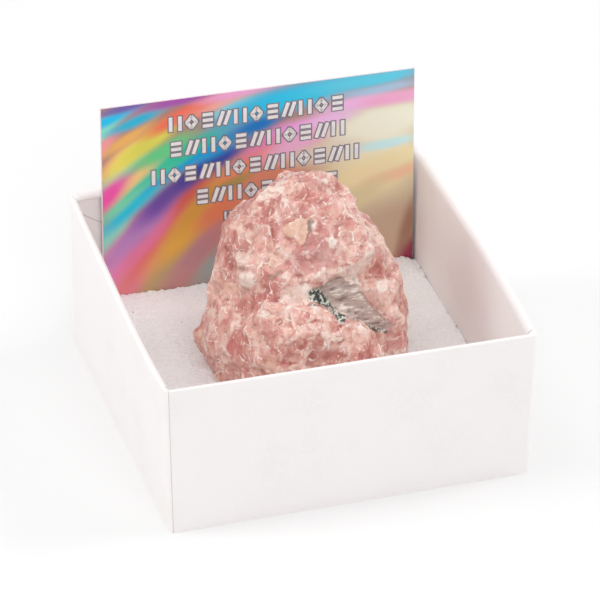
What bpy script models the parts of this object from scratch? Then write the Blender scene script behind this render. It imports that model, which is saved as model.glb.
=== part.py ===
"""Rhodochrosite specimen in its small card tray, with a foam pad and a label card.

Four loose things: the folded card tray, the foam pad on its floor, the printed label card
that stands behind the pad, and the rough stone that rests on the pad. The origin is the
middle of the tray's underside, +Z is up and the label stands at +Y. Blender units are metres.
"""

import math

import bmesh
import bpy
from mathutils import Matrix, Vector, noise

MM = 0.001
GAP = 0.3 * MM                      # clearance between pieces that touch
TOUCH = 0.02 * MM                   # points nearer than this lie on the same face

# Tray: one folded blank, each wall turned over on itself.
TRAY_SIZE = 60.0 * MM
TRAY_HEIGHT = 27.1 * MM
BOARD = 1.25 * MM                   # a folded wall, two layers of board
FLOOR = 1.0 * MM
CORNER_RADIUS = 0.6 * MM
FOLD_RADIUS = 0.2 * MM              # the tight fold along the rim's outside
ROLL_RADIUS = 0.95 * MM             # the wide roll from the rim down to the inner layer
BACK_RISE = 1.5 * MM                # the back wall's fold stands above the others
BACK_PANEL_DEPTH = 0.5 * MM         # the back wall's inner layer lies behind its fold
BACK_PANEL_TOP = TRAY_HEIGHT - 0.1 * MM
BACK_LEDGE = 0.4 * MM               # height over which the fold runs back to the panel
BACK_NOTCH = 1.3 * MM               # bare corner tab at each end of the back wall
SLIT_WIDTH = 0.3 * MM               # between a side wall's end and the wall it meets
SLIT_DEPTH = 2.2 * MM
SLIT_START = 0.45 * MM              # board left whole outside the slit
SIDE_BULGE = 1.0 * MM               # how far the middle of each wall stands out at the rim
BACK_BULGE = 0.7 * MM
RIGHT_LEAN, RIGHT_LEAN_LOST = 0.5 * MM, 0.4 * MM   # at the wall's front end, and lost by its back
LEFT_LEAN = 0.4 * MM                # at the front end, none at the back
LEFT_BULGE_SHARE, LEFT_BULGE_FORWARD = 0.8, 0.45   # the left wall bulges less, and nearer its front
FRONT_LEAN, FRONT_LEAN_GAINED = 0.4 * MM, 1.0 * MM # at the left end, and gained by the right
LEAN_EXPONENT = 1.2                 # how the lean grows with height
LEFT_LIFT, RIGHT_LIFT = 0.8 * MM, 0.4 * MM         # the side walls rise at their back ends
LIFT_EXPONENT = 3
BULGE_EXPONENT = 0.8                # under 1 fills the bulge out towards the wall's ends
BACK_BULGE_EXPONENT = 0.5
BACK_FULL_HEIGHT, BACK_EXPONENT = 4.0 * MM, 0.6    # the back wall stands out almost from its foot
WALL_SLICES = 11                    # cuts along each wall, so that it can bow
SLICED_SHARE = 0.9                  # of the wall's length
SLICE_HEIGHTS = (5.0 * MM, 12.0 * MM, 20.0 * MM)

# Foam pad.
PAD_TOP = 7.6 * MM
PAD_BOTTOM = FLOOR + GAP
PAD_SLICE = 7.0 * MM                # between cuts across the pad
PAD_BACK_RISE = 0.9 * MM            # the pad is pushed up along the label's foot

# Label card: stands on the tray's floor between the pad and the back wall.
CARD_THICKNESS = 0.4 * MM
CARD_LEFT = Vector((-24.85, 28.46)) * MM
CARD_RIGHT = Vector((28.35, 26.34)) * MM
CARD_TOP = 44.55 * MM

# Stone: blocks of one rough piece, each given by the corners of its outer faces, in mm.
STONE_SEAT = PAD_TOP + GAP
CROWN_CORNERS = (
    (4.3, 3, 42.3), (1.8, 4, 41.9), (7.0, 3, 41.4), (-0.9, 5, 40.8), (-4.1, 5, 39.4),
    (-7.2, 5, 36.0), (-10.7, 5, 32.0), (-12.4, 5, 27), (-12.8, 6, 22),
    (8.6, 2, 40.2), (11.3, 1, 34.4), (15.1, 0, 29.4), (17.4, -1, 23.6),
    (0.8, -3.5, 37), (-5, -7.8, 29), (0.6, -9.6, 27.6), (4.1, -9.4, 29.6), (7, -8.6, 30.8),
    (10.5, -6.5, 31.5), (-9.8, -4.5, 28.5), (-4, -9.6, 24), (-8, 13, 30), (1, 14, 35),
    (9, 11, 33), (14, 10, 24), (-10, 13, 18), (3, 17, 18),
)
BODY_CORNERS = (
    (-12.6, 5, 27), (-13.5, 6, 20), (-12.5, 8, 5), (-8, 15, 5), (2, 17.5, 5), (11, 15, 5),
    (17, 8, 5), (19.0, -2, 4), (19.2, -2, 9), (19.0, -2, 16.5), (17.2, -1, 23.6),
    (14, 11, 22), (3, 16.5, 22), (-9, 13, 22), (15.3, -8.5, 12), (13.8, -9.4, 19),
    (11.3, -8.3, 26), (14.6, -6.5, 25), (-8, -7.8, 27), (-3, -9.6, 26), (14, -9.5, 5),
    (-10, -8, 5),
)
FRONT_CORNERS = (
    (-8.1, -9.6, 27.0), (-2.7, -11.2, 26.2), (3.5, -12.7, 24.4), (8.4, -13.2, 21.4),
    (11.0, -12.8, 17.4), (-7.3, -14.2, 24.0), (-1.1, -16, 22.9), (5, -15.8, 19.8),
    (-11.4, -8.5, 22), (-12.6, -8, 14), (10.5, -14.5, 12), (11, -13, 4), (5, -17.5, 12),
    (-6, -16.5, 12), (4, -16.5, 4), (-7, -14.5, 4), (-11, -6, 4), (-6, 0, 27), (4, -4, 22),
    (8, -2, 4),
)
LOBE_CORNERS = (
    (-13.2, 6, 21.8), (-14.3, 6, 17), (-15.8, 5, 13), (-14.8, 4.5, 9), (-13, -1, 6),
    (-12.4, -5.5, 20.5), (-14.2, -4, 16), (-13.8, -4, 12), (-10.8, -10.6, 18),
    (-10.6, -10.6, 9), (-11, 10, 20), (-12, 10, 9),
    (-8, 0, 23), (-8, 0, 6),
)
CLEAVAGE_FLOOR = (
    (1, -8.2, 27), (4.8, -7.8, 28.8), (7.4, -7.2, 28.2), (13.9, -9, 18.1), (6.2, -9.6, 19),
    (0.8, -9.1, 23.6),
)
CLEAVAGE_REACH = Vector((-2.0, -9.0, 8.0))     # from the cleaved face out to open air
STONE_VOXEL = 0.6 * MM
STONE_FACES = 6400                            # triangles kept once flat breaks are thinned
SMOOTHING_ROUNDS = 1
FACETS = ((7.5, 0.17), (3.6, 0.16), (1.9, 0.14))   # mm across a break, slope of its face
FACET_BORDER = 0.2                            # share of a break over which it runs into the next
CALM_REACH = 7.0                              # mm from the cleaved face's middle to its corners
CALM_DEPTH = 0.6                              # mm off its plane that still counts as the face
CALM_LEAST = 0.1                              # roughness kept on the cleaved face
SWELL_SIZE, SWELL_HEIGHT = 9.0, 0.4           # broad unevenness, mm


def clear_scene():
    for obj in list(bpy.data.objects):
        bpy.data.objects.remove(obj, do_unlink=True)


def make_material(name, colour, roughness):
    material = bpy.data.materials.new(name)
    material.use_nodes = True
    shader = material.node_tree.nodes["Principled BSDF"]
    shader.inputs["Base Color"].default_value = (*colour, 1.0)
    shader.inputs["Roughness"].default_value = roughness
    shader.inputs["Metallic"].default_value = 0.0
    return material


def object_from_bmesh(name, bm, material=None):
    bmesh.ops.recalc_face_normals(bm, faces=bm.faces)
    mesh = bpy.data.meshes.new(name)
    bm.to_mesh(mesh)
    bm.free()
    obj = bpy.data.objects.new(name, mesh)
    bpy.context.collection.objects.link(obj)
    if material:
        mesh.materials.append(material)
    return obj


def box(bm, low, high):
    low, high = Vector(low), Vector(high)
    centre, size = (low + high) / 2, high - low
    place = Matrix.Translation(centre) @ Matrix.Diagonal((*size, 1.0))
    return bmesh.ops.create_cube(bm, size=1.0, matrix=place)["verts"]


def box_object(name, low, high):
    bm = bmesh.new()
    box(bm, low, high)
    return object_from_bmesh(name, bm)


def hull_object(name, corners):
    bm = bmesh.new()
    for corner in corners:
        bm.verts.new(Vector(corner) * MM)
    result = bmesh.ops.convex_hull(bm, input=bm.verts)
    loose = {item for item in result["geom_interior"] if isinstance(item, bmesh.types.BMVert)}
    bmesh.ops.delete(bm, geom=list(loose), context="VERTS")
    return object_from_bmesh(name, bm)


def combine(target, other, operation):
    """Boolean `other` into `target` and drop it."""
    modifier = target.modifiers.new(operation, "BOOLEAN")
    modifier.operation = operation
    modifier.solver = "EXACT"
    modifier.object = other
    bake_modifiers(target)
    bpy.data.objects.remove(other, do_unlink=True)


def bake_modifiers(obj):
    graph = bpy.context.evaluated_depsgraph_get()
    graph.update()
    mesh = bpy.data.meshes.new_from_object(obj.evaluated_get(graph))
    obj.modifiers.clear()
    obj.data = mesh


def slice_mesh(bm, axis, positions):
    """Cut edges across the mesh at each position, so that long walls can bend."""
    normal = Vector((0, 0, 0))
    normal[axis] = 1.0
    for position in positions:
        everything = bm.verts[:] + bm.edges[:] + bm.faces[:]
        bmesh.ops.bisect_plane(bm, geom=everything, plane_co=normal * position,
                               plane_no=normal, dist=1e-6)


def wall_bow(point):
    """Where a point of the square tray lies once the walls have bowed outwards."""
    half = TRAY_SIZE / 2
    along_x = (point.x + half) / TRAY_SIZE
    along_y = min(max((point.y + half) / TRAY_SIZE, 0.0), 1.0)
    height = (max(point.z, 0.0) / TRAY_HEIGHT) ** LEAN_EXPONENT
    right = RIGHT_LEAN - RIGHT_LEAN_LOST * along_y
    right += SIDE_BULGE * math.sin(math.pi * along_y) ** BULGE_EXPONENT
    left = LEFT_LEAN * (1 - along_y)
    left += LEFT_BULGE_SHARE * SIDE_BULGE * math.sin(math.pi * along_y ** LEFT_BULGE_FORWARD)
    front = FRONT_LEAN + FRONT_LEAN_GAINED * along_x
    back = BACK_BULGE * math.sin(math.pi * min(max(along_x, 0.0), 1.0)) ** BACK_BULGE_EXPONENT
    back_height = min(1.0, max(point.z, 0.0) / BACK_FULL_HEIGHT) ** BACK_EXPONENT
    x_push = (right if point.x > 0 else -left) * abs(point.x) / half * height
    y_push = back * back_height if point.y > 0 else -front * height
    lift = 0.0
    if abs(point.x) > half - BOARD - TOUCH:
        lift = (RIGHT_LIFT if point.x > 0 else LEFT_LIFT) * along_y ** LIFT_EXPONENT * height
    return Vector((point.x + x_push, point.y + y_push * abs(point.y) / half, point.z + lift))


def rim_edges(bm, inner):
    """The rim's inner or outer edges: level, at the tray's full height."""
    middle = (TRAY_SIZE - BOARD) / 2
    return [edge for edge in bm.edges
            if all(abs(vert.co.z - TRAY_HEIGHT) < TOUCH for vert in edge.verts)
            and edge.calc_face_angle(0.0) > math.radians(45)
            and (max(abs(value) for vert in edge.verts for value in vert.co.xy) < middle) == inner]


def roll_rim(bm):
    """Fold the rim tightly outside and let it roll down to the inner layer."""
    for inner, radius, segments in ((True, ROLL_RADIUS, 5), (False, FOLD_RADIUS, 2)):
        bmesh.ops.bevel(bm, geom=rim_edges(bm, inner), offset=radius, offset_type="OFFSET",
                        segments=segments, profile=0.5, affect="EDGES", clamp_overlap=True,
                        material=-1)


def tray_shell():
    """Open box: outer block, its top inset by the wall and sunk to the floor."""
    bm = bmesh.new()
    half = TRAY_SIZE / 2
    box(bm, (-half, -half, 0), (half, half, TRAY_HEIGHT))
    top = max(bm.faces, key=lambda face: face.calc_center_median().z)
    bmesh.ops.inset_region(bm, faces=[top], thickness=BOARD, use_even_offset=True)
    floor = bmesh.ops.extrude_discrete_faces(bm, faces=[top])["faces"]
    bmesh.ops.translate(bm, verts=floor[0].verts, vec=(0, 0, FLOOR - TRAY_HEIGHT))
    outer = half - MM / 10
    corners = [edge for edge in bm.edges
               if all(abs(vert.co.x) > outer and abs(vert.co.y) > outer for vert in edge.verts)
               and abs(edge.verts[0].co.z - edge.verts[1].co.z) > MM]
    bmesh.ops.bevel(bm, geom=corners, offset=CORNER_RADIUS, offset_type="OFFSET", segments=3,
                    profile=0.5, affect="EDGES", clamp_overlap=True, material=-1)
    roll_rim(bm)
    bmesh.ops.remove_doubles(bm, verts=bm.verts, dist=0.1 * MM)
    return object_from_bmesh("tray", bm)


def raise_back_fold(bm):
    """Lift the back wall's fold above the rest, with a bare corner tab at each end."""
    half = TRAY_SIZE / 2
    end = half - BACK_NOTCH
    step = 0.1 * MM
    slice_mesh(bm, 0, (-end, step - end, end - step, end))
    for vert in bm.verts:
        inside = abs(vert.co.x) < end - step / 2 and vert.co.y > half - BOARD - step
        if inside and vert.co.z > TRAY_HEIGHT - ROLL_RADIUS - TOUCH:
            vert.co.z += BACK_RISE
    slice_mesh(bm, 2, (BACK_PANEL_TOP, BACK_PANEL_TOP + BACK_LEDGE))
    for vert in bm.verts:
        inside = abs(vert.co.x) < end - step / 2
        if inside and abs(vert.co.y - half + BOARD) < TOUCH and vert.co.z < BACK_PANEL_TOP + TOUCH:
            vert.co.y += BACK_PANEL_DEPTH


def corner_slit(side):
    """Cutter for the slit where a side wall's fold ends against the front wall's."""
    half = TRAY_SIZE / 2
    y = BOARD + SLIT_WIDTH - half
    ends = sorted((side * (half - BOARD - MM), side * (half - SLIT_START)))
    return box_object("slit", (ends[0], y - SLIT_WIDTH / 2, TRAY_HEIGHT - SLIT_DEPTH),
                      (ends[1], y + SLIT_WIDTH / 2, TRAY_HEIGHT + MM))


def build_tray():
    tray = tray_shell()
    for side_x in (-1, 1):
        combine(tray, corner_slit(side_x), "DIFFERENCE")
    bm = bmesh.new()
    bm.from_mesh(tray.data)
    bpy.data.objects.remove(tray, do_unlink=True)
    raise_back_fold(bm)
    reach = SLICED_SHARE * TRAY_SIZE / 2
    steps = [(2 * index / (WALL_SLICES - 1) - 1) * reach for index in range(WALL_SLICES)]
    slice_mesh(bm, 0, steps)
    slice_mesh(bm, 1, steps)
    slice_mesh(bm, 2, SLICE_HEIGHTS)
    for vert in bm.verts:
        vert.co = wall_bow(vert.co)
    bmesh.ops.triangulate(bm, faces=bm.faces)
    board = make_material("white_card_board", (0.88, 0.87, 0.85), 0.7)
    return object_from_bmesh("tray", bm, board)


def card_line(x, offset):
    """Y of a line parallel to the label's front face, `offset` behind it."""
    run = CARD_RIGHT - CARD_LEFT
    return CARD_LEFT.y + (x - CARD_LEFT.x) * run.y / run.x + offset


def build_pad():
    """Foam slab, wall to wall, its back edge along the label's face."""
    inner = TRAY_SIZE / 2 - BOARD - GAP
    bm = bmesh.new()
    verts = box(bm, (-inner, -inner, PAD_BOTTOM), (inner, inner, PAD_TOP))
    for vert in verts:
        if vert.co.y > 0:
            vert.co.y = min(inner, card_line(vert.co.x, -GAP))
    steps = [step * PAD_SLICE for step in range(-3, 4)]
    slice_mesh(bm, 0, [CARD_LEFT.x] + steps)
    slice_mesh(bm, 1, steps)
    for vert in bm.verts:
        if vert.co.y > 0.8 * inner:
            vert.co.y = card_line(vert.co.x, -GAP) if vert.co.x > CARD_LEFT.x else vert.co.y
            if vert.co.z > PAD_TOP - TOUCH:
                vert.co.z += PAD_BACK_RISE
        lean = wall_bow(vert.co)
        vert.co = Vector((lean.x, lean.y if vert.co.y < 0 else vert.co.y, vert.co.z))
    foam = make_material("white_foam", (0.74, 0.71, 0.72), 0.95)
    return object_from_bmesh("foam_pad", bm, foam)


def build_card():
    """Thin upright label, turned a little about the vertical."""
    run = CARD_RIGHT - CARD_LEFT
    width = run.length
    bm = bmesh.new()
    box(bm, (0, 0, FLOOR + GAP), (width, CARD_THICKNESS, CARD_TOP))
    turn = Matrix.Rotation(math.atan2(run.y, run.x), 4, "Z")
    place = Matrix.Translation((CARD_LEFT.x, CARD_LEFT.y, 0)) @ turn
    bmesh.ops.transform(bm, matrix=place, verts=bm.verts)
    print_card = make_material("glossy_printed_card", (0.62, 0.55, 0.55), 0.25)
    return object_from_bmesh("label_card", bm, print_card)


def broken_face(point, size, slope):
    """Height of the flat, tilted break that covers a point; 0 along the lines between breaks."""
    distances, centres = noise.voronoi(point / size)
    tilt = noise.cell_vector(centres[0] * 17.0) * 2 - Vector((1, 1, 1))
    reach = (point / size - centres[0]).dot(tilt)
    border = min(1.0, (distances[1] - distances[0]) / FACET_BORDER)
    return slope * size * reach * border


def cleavage_calm(point):
    """0 on the flat cleaved face and 1 away from it, so that the face stays smooth."""
    corners = [Vector(corner) for corner in CLEAVAGE_FLOOR]
    centre = sum(corners, Vector()) / len(corners)
    normal = (corners[2] - corners[0]).cross(corners[3] - corners[0]).normalized()
    off_plane = abs((point - centre).dot(normal))
    far = max(0.0, (point - centre).length - CALM_REACH)
    return min(1.0, CALM_LEAST + max(0.0, off_plane - CALM_DEPTH) + far)


def roughen(obj):
    """Break the remeshed blocks into facets, ledges and broad swells."""
    bm = bmesh.new()
    bm.from_mesh(obj.data)
    for _ in range(SMOOTHING_ROUNDS):
        bmesh.ops.smooth_vert(bm, verts=bm.verts, factor=0.5, use_axis_x=True, use_axis_y=True,
                              use_axis_z=True)
    bm.normal_update()
    moved = []
    for vert in bm.verts:
        point = vert.co / MM
        height = SWELL_HEIGHT * noise.noise(point / SWELL_SIZE)
        for size, slope in FACETS:
            height += broken_face(point, size, slope)
        moved.append(vert.co + vert.normal * height * cleavage_calm(point) * MM)
    for vert, place in zip(bm.verts, moved):
        vert.co = place
    return bm


def flatten_seat(bm):
    """Cut the underside level, where the stone sits on the pad."""
    everything = bm.verts[:] + bm.edges[:] + bm.faces[:]
    bmesh.ops.bisect_plane(bm, geom=everything, plane_co=(0, 0, STONE_SEAT),
                           plane_no=(0, 0, -1), clear_outer=True, dist=1e-7)
    open_edges = [edge for edge in bm.edges if edge.is_boundary]
    bmesh.ops.holes_fill(bm, edges=open_edges, sides=0)
    bmesh.ops.triangulate(bm, faces=bm.faces)


def cleavage_wedge():
    """Cutter that leaves the one flat cleaved face between the crown and the front block."""
    reach = [tuple(Vector(corner) + CLEAVAGE_REACH) for corner in CLEAVAGE_FLOOR]
    return hull_object("cleavage", CLEAVAGE_FLOOR + tuple(reach))


def build_stone():
    stone = hull_object("stone_blocks", CROWN_CORNERS)
    combine(stone, hull_object("body", BODY_CORNERS), "UNION")
    combine(stone, cleavage_wedge(), "DIFFERENCE")
    combine(stone, hull_object("front", FRONT_CORNERS), "UNION")
    combine(stone, hull_object("lobe", LOBE_CORNERS), "UNION")
    remesh = stone.modifiers.new("even_mesh", "REMESH")
    remesh.mode = "VOXEL"
    remesh.voxel_size = STONE_VOXEL
    bake_modifiers(stone)
    bm = roughen(stone)
    bpy.data.objects.remove(stone, do_unlink=True)
    flatten_seat(bm)
    stone = object_from_bmesh("rhodochrosite", bm)
    thin = stone.modifiers.new("thin_flat_breaks", "DECIMATE")
    thin.ratio = STONE_FACES / len(stone.data.polygons)
    bake_modifiers(stone)
    pink = make_material("rough_rhodochrosite", (0.58, 0.24, 0.22), 0.45)
    stone.data.materials.append(pink)
    return stone


clear_scene()
build_tray()
build_pad()
build_card()
build_stone()
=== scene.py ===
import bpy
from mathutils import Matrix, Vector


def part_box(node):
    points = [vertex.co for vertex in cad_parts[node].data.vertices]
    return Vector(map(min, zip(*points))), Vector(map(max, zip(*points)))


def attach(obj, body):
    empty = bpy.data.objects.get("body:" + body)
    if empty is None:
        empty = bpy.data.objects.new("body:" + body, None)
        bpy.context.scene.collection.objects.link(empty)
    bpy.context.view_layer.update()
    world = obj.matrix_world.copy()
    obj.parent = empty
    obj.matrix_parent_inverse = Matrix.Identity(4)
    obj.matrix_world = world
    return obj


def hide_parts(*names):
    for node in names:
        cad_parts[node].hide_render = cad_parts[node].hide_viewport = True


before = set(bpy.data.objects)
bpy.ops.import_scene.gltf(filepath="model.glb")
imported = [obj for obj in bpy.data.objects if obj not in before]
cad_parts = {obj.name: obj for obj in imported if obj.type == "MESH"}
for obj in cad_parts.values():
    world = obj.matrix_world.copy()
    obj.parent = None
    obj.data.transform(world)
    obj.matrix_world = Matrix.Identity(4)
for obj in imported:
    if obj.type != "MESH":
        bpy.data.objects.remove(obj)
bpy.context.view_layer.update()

import itertools
import math

import bmesh
import bpy
import numpy as np
from mathutils import Matrix, Vector, noise

# ---------------------------------------------------------------------------------------------
# Camera, light and floor. A long lens looks down at the open box from the front left. A white
# dome, brightest overhead, gives the even studio light, with soft lamps at both sides, in front
# and above, and the floor is plain white card.
MM = 0.001
CAMERA_PLACE = Vector((-0.238684, -0.788804, 0.539061))
CAMERA_AIM = Vector((0.004389, 0.012504, 0.012))
CAMERA_LENS = 360.0                 # mm, on a 36 mm wide sensor
DOME_RIM, DOME_TOP = 0.55, 0.95     # brightness at the horizon and overhead
LAMPS = (("left_lamp", (-0.68, 0.14, 0.48), 1.25), ("right_lamp", (0.62, -0.05, 0.60), 1.30),
         ("front_lamp", (0.0, -0.65, 0.55), 0.78), ("top_lamp", (-0.30, 0.0, 0.88), 0.50))   # place, watts
LAMP_SIZE = 0.35                    # metres, as are the lamps' places
FLOOR_SIZE = 6.0
FLOOR_COLOUR = "#F2F2F2"
PAPER_ROUGHNESS = 0.9


def linear(hex_colour):
    """An sRGB hex value as linear red, green, blue and alpha."""
    parts = [int(hex_colour[i:i + 2], 16) / 255 for i in (1, 3, 5)]
    return tuple(c / 12.92 if c <= 0.04045 else ((c + 0.055) / 1.055) ** 2.4 for c in parts) + (1.0,)


def add(tree, kind, inputs=(), stops=(), **settings):
    """Add a shader node, set its properties and ramp stops, and fill or link its inputs."""
    made = tree.nodes.new("ShaderNode" + kind)
    for name, value in settings.items():
        setattr(made, name, value)
    for place, (position, colour) in enumerate(stops):
        if place >= len(made.color_ramp.elements):
            made.color_ramp.elements.new(position)
        made.color_ramp.elements[place].position = position
        made.color_ramp.elements[place].color = colour
    for socket, value in dict(inputs).items():
        if isinstance(value, bpy.types.NodeSocket):
            tree.links.new(value, made.inputs[socket])
        else:
            made.inputs[socket].default_value = value
    return made


def start_material(name):
    """A material with its tree and shader, and a place to read the object's points in mm."""
    material = bpy.data.materials.new(name)
    material.use_nodes = True
    tree = material.node_tree
    points = add(tree, "TexCoord").outputs["Object"]
    in_mm = add(tree, "Mapping", {"Vector": points, "Scale": (1 / MM, 1 / MM, 1 / MM)})
    return material, tree, tree.nodes["Principled BSDF"], in_mm.outputs["Vector"]


def finished(name, bm, material):
    """Turn a bmesh into an object that sits at the origin and wears the material."""
    mesh = bpy.data.meshes.new(name)
    bm.to_mesh(mesh)
    bm.free()
    mesh.materials.append(material)
    piece = bpy.data.objects.new(name, mesh)
    bpy.context.scene.collection.objects.link(piece)
    return piece


lens = bpy.data.cameras.new("studio_camera")
lens.lens = CAMERA_LENS
lens.sensor_width = 36.0
lens.clip_start = 0.01
camera = bpy.data.objects.new("studio_camera", lens)
camera.location = CAMERA_PLACE
camera.rotation_euler = (CAMERA_AIM - CAMERA_PLACE).to_track_quat("-Z", "Y").to_euler()
bpy.context.scene.collection.objects.link(camera)
bpy.context.scene.camera = camera
bpy.context.scene.view_settings.view_transform = "Standard"

dome = bpy.data.worlds.new("white_dome")
dome.use_nodes = True
tree = dome.node_tree
sky = add(tree, "SeparateXYZ", {0: add(tree, "TexCoord").outputs["Generated"]})
glow = add(tree, "MapRange", {"Value": sky.outputs["Z"], "To Min": DOME_RIM, "To Max": DOME_TOP})
tree.links.new(glow.outputs[0], tree.nodes["Background"].inputs["Strength"])
tree.nodes["Background"].inputs["Color"].default_value = (1, 1, 1, 1)
bpy.context.scene.world = dome

for lamp_name, lamp_place, power in LAMPS:
    lamp_data = bpy.data.lights.new(lamp_name, "AREA")
    lamp_data.size = LAMP_SIZE
    lamp_data.energy = power
    lamp = bpy.data.objects.new(lamp_name, lamp_data)
    lamp.location = lamp_place
    lamp.rotation_euler = (CAMERA_AIM - Vector(lamp_place)).to_track_quat("-Z", "Y").to_euler()
    bpy.context.scene.collection.objects.link(lamp)

# Matt white card, so the floor is even and takes only a faint shadow under the box.
floor_card, tree, shader, points = start_material("studio_floor_card")
shader.inputs["Base Color"].default_value = linear(FLOOR_COLOUR)
shader.inputs["Roughness"].default_value = PAPER_ROUGHNESS
shader.inputs["Specular IOR Level"].default_value = 0.0
floor_mesh = bmesh.new()
bmesh.ops.create_grid(floor_mesh, x_segments=2, y_segments=2, size=FLOOR_SIZE / 2)
floor = finished("studio_floor", floor_mesh, floor_card)

# ---------------------------------------------------------------------------------------------
# Tray. A shallow open box of white lined card, its walls each turned over on themselves, so that
# the rims are soft double folds, and two walls meet in a fine joint at the front left corner, down
# which a thin shadow line is painted. The back wall was creased near its left end when the box was
# folded, and painted shade marks the crease.
BOARD_EDGE = 2.0 * MM               # longest edge left in the wall's mesh
BOARD_WAVE, BOARD_WAVE_LENGTH = 0.05, 14.0    # mm, slow unevenness of the folded card
# Painted shade: a grey line is painted along the crease on the back wall's inner face.
CREASE_START, CREASE_END = Vector((-28.6, 0, 24.6)), Vector((-22.8, 0, 21.0))    # mm, on the back wall
CREASE_LENGTH, CREASE_WIDTH = (CREASE_END - CREASE_START).length, 0.12    # mm
CREASE_BOW = 0.03                   # how fast the crease curves away from a straight line
BACK_WALL_Y, BACK_WALL_REACH = 29.1, 0.6      # mm, the inner face and its neighbourhood
FRONT_FACE_Y = -29.85               # mm, in front of this is the front wall's outer face
# Painted shadow: a thin grey line is painted down the joint on the front face.
JOINT_X, JOINT_LEAN, JOINT_WIDTH = -29.5, 0.022, 0.06    # mm, it leans out as the corner does
BOARD_FOOT = 0.5 * MM               # below this the box stays flat, to stand on
SHARP_FOLD = math.radians(38)
CARD_WHITE, CARD_SHADE = "#F8F4F3", "#F4F0EF"
# The crease's grey is painted shade, and the joint's grey is a painted shadow line.
CREASE_SHADE_GREY, JOINT_SHADOW_GREY = "#C2B8B3", "#D6CDC8"
FIBRE = 0.35                        # mm, cluster of paper fibres


def shade_smooth(bm, sharp_angle):
    """Smooth shading that breaks at folds."""
    for face in bm.faces:
        face.smooth = True
    for edge in bm.edges:
        edge.smooth = edge.calc_face_angle(0.0) < sharp_angle


board = bmesh.new()
board.from_mesh(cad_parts["tray"].data)
bmesh.ops.remove_doubles(board, verts=board.verts, dist=0.001 * MM)
for _ in range(3):
    long_edges = [edge for edge in board.edges if edge.calc_length() > BOARD_EDGE]
    bmesh.ops.subdivide_edges(board, edges=long_edges, cuts=1, use_grid_fill=True)
    bmesh.ops.triangulate(board, faces=[face for face in board.faces if len(face.verts) > 3])
board.normal_update()
moved = []
for vert in board.verts:
    point = vert.co / MM
    height = BOARD_WAVE * noise.noise(point / BOARD_WAVE_LENGTH)
    if vert.co.z < BOARD_FOOT:
        height = 0.0
    moved.append(vert.co + vert.normal * height * MM)
for vert, place in zip(board.verts, moved):
    vert.co = place
shade_smooth(board, SHARP_FOLD)

# White-lined greyboard with a matt clay coating: near white, a faint fibre tooth, no shine.
lined_board, tree, shader, points = start_material("white_lined_board")
cloud = add(tree, "TexNoise", {"Vector": points, "Scale": 1 / 9.0, "Detail": 3.0})
tooth = add(tree, "TexNoise", {"Vector": points, "Scale": 1 / FIBRE, "Detail": 3.0})
tone = add(tree, "Math", {0: cloud.outputs["Fac"], 1: tooth.outputs["Fac"]}, operation="ADD")
paper = add(tree, "ValToRGB", {0: tone.outputs[0]},
            stops=((0.7, linear(CARD_SHADE)), (1.0, linear(CARD_WHITE))))
run = (CREASE_END - CREASE_START).normalized()
from_crease = add(tree, "VectorMath", {0: points, 1: CREASE_START}, operation="SUBTRACT").outputs[0]
along = add(tree, "VectorMath", {0: from_crease, 1: run}, operation="DOT_PRODUCT").outputs["Value"]
off = add(tree, "VectorMath", {0: from_crease, 1: (run.z, 0, -run.x)},
          operation="DOT_PRODUCT").outputs["Value"]
bow = add(tree, "Math", {0: along, 1: CREASE_LENGTH / 2}, operation="SUBTRACT").outputs[0]
bowed = add(tree, "Math", {0: bow, 1: bow}, operation="MULTIPLY").outputs[0]
off = add(tree, "Math", {0: bowed, 1: CREASE_BOW, 2: off}, operation="MULTIPLY_ADD").outputs[0]
beside = add(tree, "Math", {0: off}, operation="ABSOLUTE").outputs[0]
near_crease = add(tree, "MapRange", {"Value": beside, "From Min": CREASE_WIDTH, "From Max": 0.0}).outputs[0]
spot = add(tree, "SeparateXYZ", {0: points}).outputs
on_back = add(tree, "Math", {0: spot["Y"], 1: BACK_WALL_Y, 2: BACK_WALL_REACH},
              operation="COMPARE").outputs[0]
on_run = add(tree, "Math", {0: along, 1: CREASE_LENGTH / 2, 2: CREASE_LENGTH / 2},
             operation="COMPARE").outputs[0]
creased = add(tree, "Math", {0: near_crease, 1: on_back}, operation="MULTIPLY").outputs[0]
creased = add(tree, "Math", {0: creased, 1: on_run}, operation="MULTIPLY").outputs[0]
leant = add(tree, "Math", {0: spot["Z"], 1: JOINT_LEAN, 2: spot["X"]}, operation="MULTIPLY_ADD").outputs[0]
in_joint = add(tree, "Math", {0: leant, 1: JOINT_X, 2: JOINT_WIDTH}, operation="COMPARE").outputs[0]
on_front = add(tree, "Math", {0: spot["Y"], 1: FRONT_FACE_Y}, operation="LESS_THAN").outputs[0]
joint = add(tree, "Math", {0: in_joint, 1: on_front}, operation="MULTIPLY").outputs[0]
board_colour = paper.outputs["Color"]
# Painted shade along the crease and a painted shadow line down the corner joint, laid into the board's
# colour.
for share, line_grey in ((creased, CREASE_SHADE_GREY), (joint, JOINT_SHADOW_GREY)):
    board_colour = add(tree, "Mix", {0: share, 6: board_colour, 7: linear(line_grey)},
                       data_type="RGBA").outputs[2]
grain = add(tree, "Bump", {"Strength": 0.25, "Distance": 0.03 * MM, "Height": tooth.outputs["Fac"]})
tree.links.new(board_colour, shader.inputs["Base Color"])
tree.links.new(grain.outputs["Normal"], shader.inputs["Normal"])
shader.inputs["Roughness"].default_value = 0.62
shader.inputs["Specular IOR Level"].default_value = 0.35

tray = finished("tray_folded_board", board, lined_board)
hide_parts("tray")
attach(tray, "root")

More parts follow.
